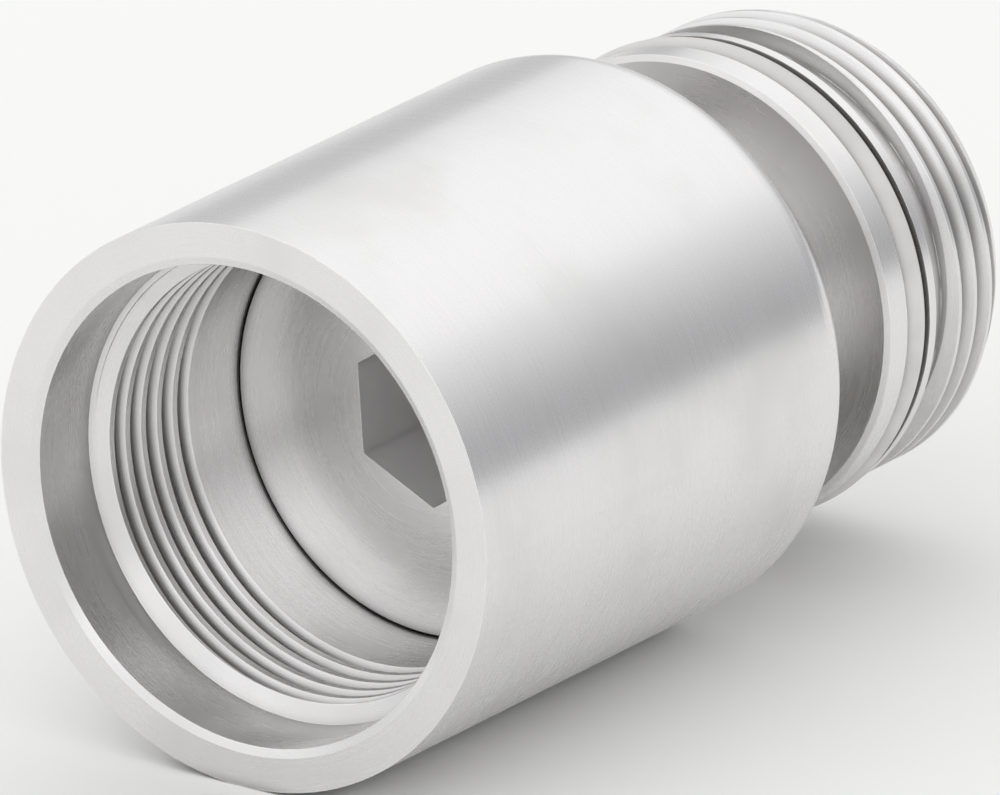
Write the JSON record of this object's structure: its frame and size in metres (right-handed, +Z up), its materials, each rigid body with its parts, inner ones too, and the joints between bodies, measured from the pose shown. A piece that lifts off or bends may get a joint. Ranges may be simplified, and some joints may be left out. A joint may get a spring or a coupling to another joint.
{
  "type": "pipe coupling",
  "caption": "Swivel pipe coupling: a long round union sleeve with a female thread turns on a hollow stem that is screwed into a sealed male spigot.",
  "frame": {"origin": "on the common axis, halfway between the socket's mouth and the spigot's end", "axes": "+Y along the axis from the socket's mouth to the spigot's end, +Z up, with the corners of the hexagon socket 4.5 degrees off it"},
  "size_m": [0.0506, 0.085, 0.0504],
  "materials": {
    "plated_sleeve": "satin nickel plate on brass",
    "plated_stem": "satin nickel plate on brass",
    "plated_spigot": "satin nickel plate on brass",
    "acetal": "turned natural acetal",
    "seal_rubber": "moulded pale silicone rubber",
    "o_ring_rubber": "moulded black rubber"
  },
  "bodies": {
    "stem_and_spigot": {"hollow_stem": "plated_stem", "front_head_o_ring": "o_ring_rubber", "rear_head_o_ring": "o_ring_rubber", "threaded_spigot": "plated_spigot", "spigot_seal": "seal_rubber", "joint_o_ring": "o_ring_rubber"},
    "bush": {"guide_bush": "acetal"},
    "sleeve": {"union_sleeve": "plated_sleeve"}
  },
  "joints": [
    {"name": "sleeve_slide", "type": "slide", "parent": "stem_and_spigot", "child": "bush", "axis": [0, 1, 0], "range_m": [0, 0.0108]},
    {"name": "sleeve_turn", "type": "hinge", "parent": "bush", "child": "sleeve", "pos_m": [0, 0, 0], "axis": [0, 1, 0], "continuous": true}
  ]
}
